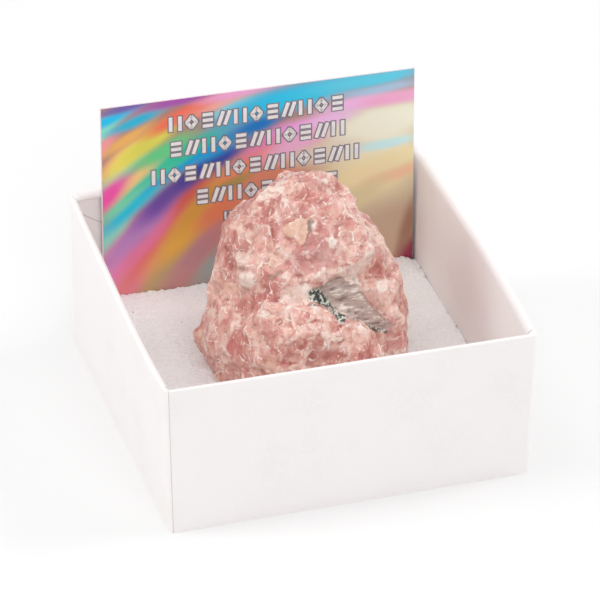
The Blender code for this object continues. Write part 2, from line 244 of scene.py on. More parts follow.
# ---------------------------------------------------------------------------------------------
# Foam pad. A slab of white foam cut by hand to fill the floor of the tray, open celled and
# grainy like sugar, its cut edges ragged where they meet the walls and the label. It is only
# laid in, and it gives a little under the stone.
PAD_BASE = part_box("foam_pad")[0].z
PAD_TOP = max(vert.co.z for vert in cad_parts["foam_pad"].data.vertices if vert.co.y < 0)
PAD_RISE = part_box("foam_pad")[1].z - PAD_TOP   # it is pushed up along the label's foot
PAD_RISE_REACH = 7.0                # mm in front of the label
PAD_SNUG = 0.24 * MM                # the foam is squeezed this far into the gap at the walls
PAD_CELLS = 210                     # grid along each side
GRAIN_SIZE, GRAIN_HEIGHT = 0.62, 0.16         # mm
LUMP_SIZE, LUMP_HEIGHT = 5.0, 0.18            # mm
RAG_SIZE, RAG_DEPTH = 0.9, 0.7                # mm, bites along the cut edges
RAG_REACH = 1.2                     # mm in from an edge that a bite is felt
EDGE_DROP = 0.2                     # mm by which the cut edge is pressed down
TUFT_SIZE, TUFT_HEIGHT = 0.7, 0.3             # mm, torn tufts in the last mm before the label
LABEL_END, END_SLOPE = 28.6, 1.6    # mm, the rise dies out here, at the label's right end
STONE_NEST, NEST_REACH = 0.32, 1.6  # mm the foam stands up round the stone's foot, and how far out
NEST_HALF = 20                      # mm, no part of the stone's foot is further out than this
PAD_HALF = 28.5 * MM                # a rough half width, to look up the outline with
PAD_SKIN = 1.2 * MM                 # depth of the first ring of the cut sides
SHARP_CUT = math.radians(60)
TOP_LEVEL, SIDE_LEVEL = 5.0 * MM, 25.2 * MM   # the solid's corners past these are its top's outline
FOOT_BAND = 0.8 * MM                # the stone's foot is what lies this low
# Foam tones: painted highlight on the cell walls, the plain foam, and painted shade in the pits.
FOAM_HIGHLIGHT, FOAM_MID, FOAM_PIT_SHADE = "#FFFFFF", "#FDFDFD", "#DFDBDC"
SPECK_COLOUR = "#7A6F64"
SPECK_SPACING = 5.0                 # mm between dark specks


def side_of_pad(axis, sign):
    """The pad's outline along one side, as sorted places and how far out it lies there."""
    other = 1 - axis
    corners = [vert.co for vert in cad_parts["foam_pad"].data.vertices
               if vert.co.z > PAD_BASE + TOP_LEVEL]
    edge = sorted((round(co[other], 7), round(co[axis], 7)) for co in corners
                  if sign * co[axis] > SIDE_LEVEL)
    return [place for place, _ in edge], [reach for _, reach in edge]


pad_sides = {(axis, sign): side_of_pad(axis, sign) for axis in (0, 1) for sign in (-1, 1)}


def pad_outline(axis, sign, place):
    return float(np.interp(place, *pad_sides[axis, sign]))


def stone_reach(point, footprint):
    return min((point - spot).length for spot in footprint)


foot_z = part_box("rhodochrosite")[0].z + FOOT_BAND
foot_corners = [vert.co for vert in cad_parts["rhodochrosite"].data.vertices if vert.co.z < foot_z]
footprint = [Vector((corner.x, corner.y)) / MM for corner in foot_corners][::6]   # every sixth is enough

pad = bmesh.new()
bmesh.ops.create_grid(pad, x_segments=PAD_CELLS, y_segments=PAD_CELLS, size=1.0)
for vert in pad.verts:
    across, along = (vert.co.x + 1) / 2, (vert.co.y + 1) / 2
    rough_x, rough_y = vert.co.x * PAD_HALF, vert.co.y * PAD_HALF
    left, right = pad_outline(0, -1, rough_y) - PAD_SNUG, pad_outline(0, 1, rough_y) + PAD_SNUG
    front, back = pad_outline(1, -1, rough_x) - PAD_SNUG, pad_outline(1, 1, rough_x) + PAD_SNUG
    x, y = left + (right - left) * across, front + (back - front) * along
    point = Vector((x, y, 0)) / MM
    edge = min(x - left, right - x, y - front, back - y) / MM
    near = max(0.0, 1 - edge / RAG_REACH)
    bite = RAG_DEPTH * max(0.0, noise.noise(point / RAG_SIZE) - 0.15)
    inward = Vector((0.0, 0.0, 0.0))
    if near > 0:
        inward.x = (near if x - left < RAG_REACH * MM else 0) - (near if right - x < RAG_REACH * MM else 0)
        inward.y = (near if y - front < RAG_REACH * MM else 0) - (near if back - y < RAG_REACH * MM else 0)
    grain_height = GRAIN_HEIGHT * noise.noise(point / GRAIN_SIZE)
    grain_height += 0.6 * GRAIN_HEIGHT * noise.noise(point / (0.45 * GRAIN_SIZE) + Vector((9, 4, 2)))
    lump_height = LUMP_HEIGHT * noise.noise(point / LUMP_SIZE)
    nest = 0.0
    if abs(point.x) < NEST_HALF and abs(point.y) < NEST_HALF:
        nest = STONE_NEST * max(0.0, 1 - stone_reach(point.xy, footprint) / NEST_REACH)
    drop = EDGE_DROP * near ** 3
    to_label = (back - y) / MM
    behind = max(0.0, 1 - to_label / PAD_RISE_REACH)
    rise = PAD_RISE * behind * min(1.0, max(0.2, (LABEL_END - point.x) / END_SLOPE))
    tufts = TUFT_HEIGHT * noise.noise(point / TUFT_SIZE) * max(0.0, 1 - to_label)
    vert.co = (x + inward.x * bite * MM, y + inward.y * bite * MM,
               PAD_TOP + rise + (grain_height + lump_height + nest + tufts - drop) * MM)
rim = [edge for edge in pad.edges if edge.is_boundary]
for depth in (PAD_SKIN, PAD_TOP - PAD_SKIN - PAD_BASE):
    grown = bmesh.ops.extrude_edge_only(pad, edges=rim)["geom"]
    rim = [item for item in grown if isinstance(item, bmesh.types.BMEdge) and item.is_boundary]
    bmesh.ops.translate(pad, verts=list({vert for edge in rim for vert in edge.verts}),
                        vec=(0, 0, -depth))
for vert in {vert for edge in rim for vert in edge.verts}:
    vert.co.z = PAD_BASE
bmesh.ops.holes_fill(pad, edges=rim, sides=0)
bmesh.ops.triangulate(pad, faces=[face for face in pad.faces if len(face.verts) > 4])
bmesh.ops.recalc_face_normals(pad, faces=pad.faces)
shade_smooth(pad, SHARP_CUT)

# Open-cell polyurethane foam: bright cell walls with soft grey pits between them, the grey being painted
# shade in the pits and the brightest points painted highlights where a cell wall faces the light; no
# shine, and a few dark specks of dust.
cell_foam, tree, shader, points = start_material("open_cell_foam")
cells = add(tree, "TexVoronoi", {"Vector": points, "Scale": 1 / 0.55, "Randomness": 1.0})
mottle = add(tree, "TexNoise", {"Vector": points, "Scale": 1 / 0.5, "Detail": 4.0, "Roughness": 0.7})
broad = add(tree, "TexNoise", {"Vector": points, "Scale": 1 / 8.0, "Detail": 2.0})
# The mottle paints shade into the pits, where the bump below is low, and highlights on the high cell walls.
sugar = add(tree, "ValToRGB", {0: mottle.outputs["Fac"]},
            stops=((0.30, linear(FOAM_PIT_SHADE)), (0.46, linear(FOAM_MID)), (0.66, linear(FOAM_HIGHLIGHT))))
washed = add(tree, "Mix", {0: broad.outputs["Fac"], 6: sugar.outputs["Color"], 7: linear(FOAM_MID)},
             data_type="RGBA")
dust = add(tree, "TexVoronoi", {"Vector": points, "Scale": 1 / SPECK_SPACING})
speck = add(tree, "Math", {0: dust.outputs["Distance"], 1: 0.035}, operation="LESS_THAN")
dusty = add(tree, "Mix", {0: speck.outputs[0], 6: washed.outputs[2], 7: linear(SPECK_COLOUR)},
            data_type="RGBA")
relief = add(tree, "Math", {0: mottle.outputs["Fac"], 1: cells.outputs["Distance"]}, operation="SUBTRACT")
pores = add(tree, "Bump", {"Strength": 0.6, "Distance": 0.25 * MM, "Height": relief.outputs[0]})
tree.links.new(dusty.outputs[2], shader.inputs["Base Color"])
tree.links.new(pores.outputs["Normal"], shader.inputs["Normal"])
shader.inputs["Roughness"].default_value = 0.85
shader.inputs["Specular IOR Level"].default_value = 0.3

foam = finished("foam_slab", pad, cell_foam)
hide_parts("foam_pad")
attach(foam, "root")

# ---------------------------------------------------------------------------------------------
# Label card. A stiff white card, stood on end between the foam and the back wall, its front
# covered with holographic printing film, and rows of small silver foil marks stamped on the
# film. The marks are plain posts, rungs and rhombs, and spell nothing.
LABEL_LEFT, LABEL_RIGHT = Vector((-24.85, 28.46)) * MM, Vector((28.35, 26.34)) * MM
LABEL_BASE, LABEL_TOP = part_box("label_card")[0].z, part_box("label_card")[1].z
LABEL_WIDTH = (LABEL_RIGHT - LABEL_LEFT).length
CORE_THICKNESS = 0.34 * MM
FILM_THICKNESS = 0.05 * MM
FILM_SHORT = 0.16 * MM              # how far the film stops short of the card's left and top edges
FILM_SHORT_RIGHT = 0.04 * MM
EDGE_ROUND = 0.05 * MM
MARK_HEIGHT, MARK_WIDTH, MARK_PITCH = 2.75, 2.2, 2.75    # mm
MARK_STROKE = 0.62                  # mm, width of the bars that make up a mark
MARK_RIM = 0.2                      # mm of grey showing round each mark
MARK_LIFT = 0.03 * MM
MARK_LEAN = 18                      # degrees
# Rows of marks: left end and top, in mm from the card's top left corner, count and scale.
MARK_ROWS = ((11.2, 3.4, 11, 1.0), (11.3, 8.2, 11, 1.0), (8.2, 13.1, 13, 1.0), (15.7, 17.9, 9, 1.0),
             (20.6, 22.8, 9, 0.55))
# Streaks of colour in the film, chosen one by one: middle (mm from the top left corner),
# half length and half width in mm, tilt in degrees, rough colour. Later ones lie over earlier ones.
FILM_GROUND = "#B98F86"
FILM_REFLECTION_GAIN = 1.42              # painted reflection: the streak colours are lifted for light the metallised backing returns
STREAK_SPREAD = 1.6                 # a streak fades out this far past its half length and width
DRIFT_SIZE, DRIFT = 14.0, 1.6       # mm, slow wander that keeps the streaks from being straight
STREAKS = (
    (10, 30, 22, 12, 50, "#B98078"), (44, 28, 18, 12, 25, "#ADA08A"), (50, 31, 6, 8, 60, "#B39A84"),
    (48, 17, 12, 7, 10, "#E6CFA8"), (47, 10, 14, 5, 5, "#E9DDC6"), (25, 19, 13, 6, 35, "#C98068"),
    (1, 31.5, 9, 4, 52, "#D08AA0"), (3, 29.5, 10, 2.6, 50, "#CE80AE"), (6, 32.5, 9, 2.4, 52, "#CB7680"),
    (10.5, 33.5, 9, 2.2, 55, "#A89462"), (15, 31.5, 9, 2.4, 50, "#AC7C82"),
    (19, 33, 8, 2.0, 50, "#8E9A98"), (10.5, 26, 10, 1.8, 50, "#CF6664"),
    (13.8, 26, 9, 2.3, 50, "#CD9C44"), (16.6, 20.6, 7, 2.2, 45, "#C08E3C"),
    (19.6, 22, 5, 1.8, 42, "#CE7856"), (13.2, 19.8, 7, 1.6, 42, "#BE5244"),
    (7.2, 26.5, 8, 1.6, 50, "#CF6C90"), (6.2, 24, 10, 2.0, 47, "#A878B0"),
    (11, 18.6, 7, 1.9, 40, "#68489A"), (15.5, 15.0, 8, 1.7, 33, "#48408C"),
    (19.5, 12.4, 7, 1.5, 22, "#35489C"), (1.2, 24.5, 5, 1.5, 50, "#84C4B6"),
    (6.0, 18.6, 10, 1.5, 39, "#25B4CE"), (12.8, 12.6, 9, 1.5, 30, "#1C94C8"),
    (20, 9.8, 8, 1.7, 20, "#0A98CE"), (4.5, 17.5, 8, 1.2, 39, "#6CC6A4"),
    (10.5, 12.6, 8, 1.5, 33, "#44BC9C"), (15.5, 9.4, 7, 1.5, 25, "#2CB692"),
    (0.8, 4.6, 4, 1.4, 50, "#84CBB2"), (0.3, 8.0, 4, 1.2, 45, "#E08C90"),
    (2.6, 10.6, 6, 1.3, 40, "#E09A78"), (3.2, 12.9, 6, 1.3, 40, "#80C8B4"),
    (5.0, 14.8, 6, 1.1, 40, "#E6BC7C"), (0.8, 16.8, 5, 1.8, 45, "#E0509E"),
    (5.2, 9.6, 7, 1.6, 38, "#E8CE5C"), (8.8, 7.3, 6, 1.7, 35, "#C6C454"),
    (4.6, 6.6, 5, 1.0, 32, "#D6A45C"), (10.6, 9.6, 6, 1.4, 28, "#5CC080"),
    (1.5, 2.4, 6, 1.1, 22, "#20B0D8"), (6.0, 3.4, 5, 1.0, 20, "#2CA4C4"),
    (13.2, 3.5, 6, 1.2, 28, "#DC604C"), (17.5, 2.5, 6, 1.2, 20, "#E87C6C"),
    (22.0, 1.9, 5, 1.0, 16, "#F0A098"), (22.8, 3.2, 5, 0.9, 18, "#8CC8CC"),
    (4.8, 0.4, 5, 0.9, 8, "#6A5A9C"), (13.5, 0.5, 7, 0.9, 8, "#9850A0"), (24, 0.45, 7, 0.9, 6, "#E39AC4"),
    (26.5, 4.4, 8, 2.2, 18, "#18A4D2"), (26, 7.4, 5, 1.4, 18, "#1A6EB4"),
    (33.5, 2.4, 11, 2.4, 8, "#28B6DE"), (46, 1.0, 11, 1.6, 4, "#54BCD4"), (47, 3.2, 8, 0.9, 4, "#9AB4CC"),
    (28.5, 10.4, 4, 1.8, 28, "#BE7CC0"), (34, 8.8, 6, 1.8, 15, "#DA98D2"),
    (38.5, 7.9, 5, 1.3, 10, "#E6B0DE"), (43, 5.3, 6, 1.2, 6, "#DFAEDA"), (51, 5.2, 8, 1.3, 2, "#E49CBE"),
    (48, 9.4, 9, 1.7, 4, "#EDDFC8"), (48, 13.5, 8, 0.9, 5, "#B8DADC"), (50.5, 16.4, 7, 1.7, 8, "#ECD0A4"),
    (44.5, 18.8, 5, 1.8, 15, "#E2CCA0"), (50.5, 19.6, 6, 1.3, 12, "#E6B694"),
    (44, 23, 5, 2.0, 35, "#C8BC94"), (27, 12.2, 4, 1.8, 30, "#D47E9E"), (25, 14.6, 5, 1.4, 25, "#E07E5C"),
    (22, 17.7, 4, 1.1, 25, "#A08850"), (33, 12, 6, 2.0, 20, "#D8A4C4"), (38, 14, 6, 1.8, 8, "#CCC4B4"),
    (52.9, 35, 4, 2.2, 60, "#8A3048"), (52.4, 30, 5, 1.3, 75, "#94705C"),
)
SILVER, SILVER_WORN = "#FFFFFF", "#F2F3F6"
RIM_GREY, RIM_PALE = "#7C7986", "#8E8A96"


def stand_label(bm):
    """Turn and carry flat work, drawn from the label's left foot, to where the label stands."""
    run = LABEL_RIGHT - LABEL_LEFT
    turn = Matrix.Rotation(math.atan2(run.y, run.x), 4, "Z")
    place = Matrix.Translation((LABEL_LEFT.x, LABEL_LEFT.y, LABEL_BASE))
    bmesh.ops.transform(bm, matrix=place @ turn, verts=bm.verts)
    bmesh.ops.recalc_face_normals(bm, faces=bm.faces)


def flat_plate(low, high, edge_round):
    """A plate with softened edges, from one corner to the other."""
    bm = bmesh.new()
    middle, size = (Vector(low) + Vector(high)) / 2, Vector(high) - Vector(low)
    bmesh.ops.create_cube(bm, size=1.0, matrix=Matrix.Translation(middle) @ Matrix.Diagonal((*size, 1)))
    bmesh.ops.bevel(bm, geom=bm.edges[:], offset=edge_round, segments=2, profile=0.5,
                    affect="EDGES", material=-1)
    return bm


# Solid bleached board, cut with a blade: a fine line of clean white along the top and sides.
cut_board, tree, shader, points = start_material("cut_bleached_board")
fibres = add(tree, "TexNoise", {"Vector": points, "Scale": 1 / 0.4, "Detail": 4.0})
cut = add(tree, "ValToRGB", {0: fibres.outputs["Fac"]},
          stops=((0.3, linear("#F0E4E6")), (0.7, linear("#FBF3F4"))))
nap = add(tree, "Bump", {"Strength": 0.2, "Distance": 0.02 * MM, "Height": fibres.outputs["Fac"]})
tree.links.new(cut.outputs["Color"], shader.inputs["Base Color"])
tree.links.new(nap.outputs["Normal"], shader.inputs["Normal"])
shader.inputs["Roughness"].default_value = 0.7

core_mesh = flat_plate((0, FILM_THICKNESS, 0),
                       (LABEL_WIDTH, FILM_THICKNESS + CORE_THICKNESS, LABEL_TOP - LABEL_BASE), EDGE_ROUND)
stand_label(core_mesh)
core = finished("label_core", core_mesh, cut_board)
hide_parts("label_card")
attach(core, "root")

# Holographic polyester film: soft slanting bands of rainbow colour under a clear glossy face.
rainbow_film, tree, shader, points = start_material("holographic_film")
run = LABEL_RIGHT - LABEL_LEFT
# The film's own measure: mm to the right of and down from its top left corner.
top_left = Vector((LABEL_LEFT.x, LABEL_LEFT.y, LABEL_TOP)) / MM
slid = add(tree, "Mapping", {"Vector": points, "Location": -top_left})
turned = add(tree, "Mapping", {"Vector": slid.outputs["Vector"],
                               "Rotation": (0, 0, -math.atan2(run.y, run.x))})
across = add(tree, "SeparateXYZ", {0: turned.outputs["Vector"]})
flat = add(tree, "CombineXYZ", {"X": across.outputs["X"], "Y": across.outputs["Z"]})
drift = add(tree, "TexNoise", {"Vector": flat.outputs[0], "Scale": 1 / DRIFT_SIZE, "Detail": 1.0})
shift = add(tree, "VectorMath", {0: drift.outputs["Color"], 1: (0.5, 0.5, 0.5)}, operation="SUBTRACT")
push = add(tree, "VectorMath", {0: shift.outputs[0], "Scale": DRIFT}, operation="SCALE")
place = add(tree, "VectorMath", {0: flat.outputs[0], 1: push.outputs[0]}, operation="ADD")
colour = None
for x, down, half_length, half_width, tilt, tint in STREAKS:
    reach = (STREAK_SPREAD * half_length, STREAK_SPREAD * half_width, 1)
    spot = add(tree, "Mapping", {"Vector": place.outputs[0], "Location": (x, -down, 0),
                                 "Rotation": (0, 0, math.radians(tilt)), "Scale": reach},
               vector_type="TEXTURE")
    glow = add(tree, "TexGradient", {"Vector": spot.outputs["Vector"]}, gradient_type="SPHERICAL")
    soft = add(tree, "MapRange", {"Value": glow.outputs["Fac"], "From Max": 0.8},
               interpolation_type="SMOOTHSTEP")
    # Painted reflection: each streak's colour is lifted by the reflection gain.
    bright = [min(1.0, part * FILM_REFLECTION_GAIN) for part in linear(tint)]
    under = colour if colour else linear(FILM_GROUND)
    colour = add(tree, "Mix", {0: soft.outputs[0], 6: under, 7: bright}, data_type="RGBA").outputs[2]
tree.links.new(colour, shader.inputs["Base Color"])
lines = add(tree, "TexNoise", {"Vector": flat.outputs[0], "Scale": 1 / 0.3, "Detail": 2.0})
orange_peel = add(tree, "Bump", {"Strength": 0.05, "Distance": 0.01 * MM, "Height": lines.outputs["Fac"]})
tree.links.new(orange_peel.outputs["Normal"], shader.inputs["Normal"])
shader.inputs["Roughness"].default_value = 0.38
shader.inputs["Specular IOR Level"].default_value = 0.3

film_mesh = flat_plate((FILM_SHORT, 0, 0),
                       (LABEL_WIDTH - FILM_SHORT_RIGHT, FILM_THICKNESS, LABEL_TOP - LABEL_BASE - FILM_SHORT),
                       FILM_THICKNESS / 4)
stand_label(film_mesh)
film = finished("label_film", film_mesh, rainbow_film)
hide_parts("label_card")
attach(film, "root")


def mark_bar(bm, centre, size, lean, grown, depth):
    """One stamped bar standing on the film, leaning in degrees and grown by its rim."""
    turn = Matrix.Rotation(math.radians(lean), 4, "Y")
    stretch = Matrix.Diagonal(((size[0] + 2 * grown) * MM, MARK_LIFT / 2, (size[1] + 2 * grown) * MM, 1))
    place = Matrix.Translation((centre[0] * MM, -depth, centre[1] * MM))
    bmesh.ops.create_cube(bm, size=1.0, matrix=place @ turn @ stretch)


def stamp_marks(grown, depth):
    """Every row of marks: each is two posts, a rhomb of four bars, three rungs or two leaning posts."""
    bm = bmesh.new()
    for row, (left, down, count, scale) in enumerate(MARK_ROWS):
        wide, tall, stroke = MARK_WIDTH * scale, MARK_HEIGHT * scale, MARK_STROKE * scale
        slope = math.degrees(math.atan2(wide - stroke, tall - stroke))
        side = math.hypot(wide - stroke, tall - stroke) / 2
        for place in range(count):
            x = left + (place + 0.5) * MARK_PITCH * scale
            z = (LABEL_TOP - LABEL_BASE) / MM - down - tall / 2
            posts = [((step * (wide - stroke) / 2, 0), (stroke, tall), 0) for step in (-1, 1)]
            rungs = [((0, step * (tall - stroke) / 2), (0.8 * wide, stroke), 0) for step in (-1, 0, 1)]
            rhomb = [((across * (wide - stroke) / 4, up * (tall - stroke) / 4), (stroke, side + 0.2),
                      -across * up * slope) for across in (-1, 1) for up in (-1, 1)]
            leaning = [((step * wide / 4, 0), (stroke, tall), MARK_LEAN) for step in (-1, 1)]
            for (off_x, off_z), size, lean in (posts, rhomb, rungs, leaning)[(place + 2 * row) % 4]:
                mark_bar(bm, (x + off_x, z + off_z), size, lean, grown, depth)
    stand_label(bm)
    return bm


# Silver stamping foil, rubbed dull: pale grey with a soft metal sheen.
silver_foil, tree, shader, points = start_material("silver_stamping_foil")
rubbed = add(tree, "TexNoise", {"Vector": points, "Scale": 1 / 1.2, "Detail": 3.0})
sheen = add(tree, "ValToRGB", {0: rubbed.outputs["Fac"]},
            stops=((0.35, linear(SILVER_WORN)), (0.65, linear(SILVER))))
tree.links.new(sheen.outputs["Color"], shader.inputs["Base Color"])
shader.inputs["Roughness"].default_value = 0.35
marks = finished("label_marks", stamp_marks(0.0, MARK_LIFT), silver_foil)

# Grey size, the glue that the foil sits on, showing as a thin rim.
grey_size, tree, shader, points = start_material("grey_foil_size")
uneven = add(tree, "TexNoise", {"Vector": points, "Scale": 1 / 0.9, "Detail": 2.0})
rim_grey = add(tree, "ValToRGB", {0: uneven.outputs["Fac"]},
               stops=((0.3, linear(RIM_GREY)), (0.7, linear(RIM_PALE))))
tree.links.new(rim_grey.outputs["Color"], shader.inputs["Base Color"])
shader.inputs["Roughness"].default_value = 0.5
rims = finished("label_mark_rims", stamp_marks(MARK_RIM, MARK_LIFT / 2), grey_size)
for piece in (marks, rims):
    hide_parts("label_card")
    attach(piece, "root")

# ---------------------------------------------------------------------------------------------
# Stone. One rough lump of pink rhodochrosite, broken out of a vein and not cut or polished: flat
# breaks with pale bruised edges, cream and white crusts, deeper rose hearts, one grey cleaved
# face with a black-green hem. It rests by its own weight on the foam.
STONE_MESH_SIZE = 0.24 * MM
# Breaks: mm across one, the slope of its face, and how much of it the flat patches lose.
BREAKS = ((4.6, 0.30, 0.9), (2.3, 0.25, 0.9), (1.1, 0.13, 0.6))
BREAK_HOLLOW = 0.55                 # how much a break is scooped, as against flat
PITTING, PITTING_SIZE = 0.02, 0.35  # mm
SET_BACK = 0.1                      # mm by which the broken skin lies under the solid's
WASTE = ((-12.6, 3.0, 28.0), 7.0, 0.9)   # a shallow dip at the left shoulder: middle, reach, depth, mm
SEAT_SINK = 0.25 * MM               # how far the stone presses into the foam
SEAT_BAND, SEAT_FLAT = 0.3 * MM, 0.1 * MM     # what lies this low is the seat, and how uneven it is
SEAT_ROUGH = 0.2                    # share of the broken relief that the seat keeps
PROUD_FULL = 0.09                   # mm above its neighbours at which an edge is fully bruised
SHARP_BREAK = math.radians(34)
PATCH_WARP, PATCH_WARP_SIZE = 0.45, 1.1             # mm, how ragged a patch's outline is
PATCH_FADE = 0.35                   # mm over which a patch fades out
WANDER_SEED = 5                     # noise_vector starts from the clock unless it is given a seed
# Where each mineral shows, in mm: whether the outline is a closed area, how far the patch
# reaches beyond it, how strong it is, and the outline's points.
CRUSTS = (
    (True, 0.1, 1.0, ((-1.8, -8.5, 28.5), (0.4, -9.3, 28.0), (0.2, -9.6, 25.8), (-1.4, -10.7, 26.0),
                      (-2.0, -9.4, 26.7))),
    (True, 0.0, 0.6, ((-4.9, -8.1, 28.0), (-1.7, -8.3, 28.7), (-2.0, -10.0, 26.1), (-4.1, -10.7, 26.3),
                      (-5.1, -8.9, 26.6))),
    (True, 0.1, 1.0, ((-10.7, -1.8, 27.9), (-9.8, -3.3, 29.5), (-8.7, -4.7, 29.3), (-8.9, -5.1, 28.1),
                      (-9.8, -3.2, 26.2), (-10.6, -1.6, 26.6))),
    (False, 0.35, 0.9, ((-11.4, -3.4, 21.4), (-10.8, -4.2, 21.2), (-11.6, -5.8, 20.8))),
    (True, 0.3, 1.0, ((4.2, -9.0, 29.9), (5.4, -8.4, 30.3), (6.6, -8.5, 30.3), (8.0, -6.8, 27.5),
                      (8.3, -7.4, 26.1), (7.1, -7.3, 26.6), (6.1, -7.5, 27.7))),
    (True, 0.1, 1.0, ((11.2, -6.7, 25.8), (12.7, -5.8, 25.5), (13.5, -7.0, 25.1), (12.8, -8.1, 24.4),
                      (11.5, -8.6, 24.7), (10.8, -8.4, 25.7))),
    (True, 0.0, 1.0, ((3.3, -5.5, 34.4), (4.2, -5.2, 34.8), (5.1, -5.5, 34.3), (4.7, -6.3, 33.5),
                      (3.8, -6.4, 33.4))),
    (True, 0.0, 0.8, ((5.5, -13.6, 22.4), (7.1, -13.6, 22.2), (8.6, -13.2, 21.0), (8.2, -13.6, 20.7),
                      (6.0, -14.5, 21.6))),
    (False, 0.35, 0.85, ((11.9, -3.8, 30.8), (10.3, -6.6, 31.1), (8.0, -8.0, 30.8), (6.3, -8.4, 30.0),
                         (4.7, -8.2, 28.9))),
    (False, 0.18, 0.8, ((4.7, -8.2, 28.9), (2.8, -8.4, 28.2), (1.4, -8.6, 27.4))),
    (False, 0.3, 1.0, ((1.3, -8.6, 27.0), (2.6, -8.6, 24.9), (3.6, -9.6, 23.7), (4.5, -12.6, 23.5))),
    (False, 0.22, 1.0, ((10.0, -1.5, 35.5), (11.6, 0.3, 33.3), (12.6, -0.1, 31.8), (12.9, -0.5, 31.1))),
    (False, 0.22, 0.9, ((9.7, -3.2, 34.8), (11.3, -1.7, 33.3), (11.6, -2.6, 32.3), (9.9, -5.2, 32.6),
                        (7.8, -6.0, 33.1))),
    (False, 0.13, 1.0, ((-4.5, -0.5, 35.2), (-6.0, 0.7, 34.9), (-6.2, -0.1, 34.3), (-5.5, -1.2, 33.7))),
    (False, 0.13, 0.9, ((-3.1, 2.0, 38.0), (-3.2, 0.6, 37.5), (-3.1, -0.5, 36.3))),
    (False, 0.13, 1.0, ((4.0, -0.2, 39.1), (5.8, 0.5, 39.0), (7.6, 1.2, 38.8))),
    (False, 0.12, 0.9, ((-0.1, -2.0, 37.3), (0.6, -1.7, 37.6), (2.0, -2.1, 37.7), (3.1, -1.3, 38.4),
                        (4.2, -1.3, 38.2), (5.8, -1.1, 38.2))),
    (False, 0.25, 0.9, ((2.1, -2.8, 37.1), (1.5, -4.3, 35.4))),
    (False, 0.1, 0.8, ((-2.4, -5.2, 33.0), (-2.0, -5.8, 31.5), (-1.3, -7.0, 30.3), (-1.0, -7.8, 29.8))),
    (False, 0.16, 0.8, ((-8.1, -9.2, 26.8), (-5.2, -9.2, 26.4), (-2.6, -11.3, 25.9), (0.4, -13.6, 24.9),
                        (4.7, -13.5, 22.9))),
    (False, 0.2, 1.0, ((-2.5, -12.5, 25.3), (-2.3, -13.8, 24.8), (-2.0, -14.6, 24.7))),
    (False, 0.2, 0.9, ((-1.6, -15.0, 24.5), (1.2, -14.5, 23.8))),
    (False, 0.2, 0.9, ((-0.2, -15.5, 23.4), (0.3, -15.7, 22.2))),
    (False, 0.1, 0.8, ((-10.9, -10.1, 17.6), (-10.1, -11.3, 19.0), (-8.5, -13.1, 21.7))),
    (False, 0.12, 0.8, ((14.2, 0.7, 30.2), (13.5, -2.6, 29.8), (14.4, -3.1, 28.1), (16.7, -2.7, 23.8))),
    (False, 0.13, 0.9, ((13.0, -8.4, 23.1), (14.1, -8.6, 21.2), (14.8, -8.1, 19.2))),
    (False, 0.15, 0.9, ((9.4, -7.0, 30.1), (9.3, -6.4, 28.0), (9.7, -7.0, 26.1))),
    (False, 0.13, 0.8, ((-12.1, 2.9, 26.3), (-11.8, 2.1, 25.2), (-10.9, -0.5, 25.5))),
    (True, 0.0, 0.6, ((-10.8, 2.6, 29.9), (-9.6, 1.9, 30.7), (-8.3, -0.9, 31.8), (-8.9, -2.9, 31.0),
                      (-10.0, -2.0, 30.1), (-10.9, 0.3, 29.5))),
    (False, 0.12, 0.8, ((-7.4, -2.4, 32.2), (-8.6, -2.7, 31.4), (-8.8, -3.9, 30.3))),
    (True, 0.0, 0.7, ((11.5, -4.2, 31.1), (11.5, -5.0, 29.8), (10.2, -6.2, 28.9), (9.3, -6.4, 27.0),
                      (7.3, -7.6, 28.7), (6.3, -8.4, 29.9), (8.0, -8.0, 31.0), (9.8, -6.6, 31.6))),
)
GREY_CLEAVAGE = (
    (True, 0.15, 1.0, ((0.4, -9.3, 27.7), (4.5, -8.0, 28.6), (7.5, -7.1, 27.8), (8.1, -7.8, 25.7),
                       (9.3, -8.3, 23.4), (12.0, -9.3, 20.1), (13.3, -9.6, 18.8), (12.2, -9.5, 18.1),
                       (8.8, -9.8, 19.4), (6.2, -9.8, 22.0), (4.1, -9.4, 23.4))),
)
DARK_HEM = (
    (False, 1.25, 1.0, ((0.4, -9.2, 26.9), (1.2, -8.9, 25.5), (2.1, -9.4, 24.6), (2.8, -10.9, 24.3),
                       (3.6, -12.4, 24.2))),
    (False, 0.35, 0.8, ((-1.0, -11.0, 26.1), (-0.3, -11.7, 26.1))),
    (False, 0.3, 0.8, ((2.5, -10.3, 24.4), (4.8, -10.0, 22.8), (6.2, -10.3, 21.8), (8.0, -9.8, 20.2),
                       (9.6, -9.4, 19.1), (10.7, -9.5, 18.6), (12.3, -9.4, 17.8))),
)
# Painted shade: dark lines laid along the slits where the stone is split.
DARK_SLITS = (
    (False, 0.3, 0.8, ((7.2, -13.3, 22.4), (9.8, -9.4, 18.9), (10.8, -9.6, 18.4))),
    (False, 0.35, 0.9, ((1.5, -3.0, 36.8), (1.0, -4.0, 35.7))),
    (False, 0.3, 0.5, ((-10.8, -1.1, 29.0), (-9.6, -3.3, 30.0))),
    (False, 0.4, 0.6, ((-6.4, -6.1, 29.4), (-4.9, -6.4, 30.3))),
    (False, 0.25, 0.5, ((0.1, -5.0, 33.9), (0.0, -6.1, 33.1))),
    (False, 0.3, 0.6, ((-10.3, -2.6, 25.9), (-9.2, -4.0, 26.4))),
)
FIBROUS_CRUST = (
    (True, 0.2, 1.0, ((-5.4, 4.5, 38.0), (-3.7, 5.5, 39.1), (-0.2, 8.3, 38.3), (-0.6, 4.6, 40.5),
                      (-1.3, 3.8, 39.5), (-2.9, 3.0, 38.8), (-4.2, 2.8, 37.9))),
)
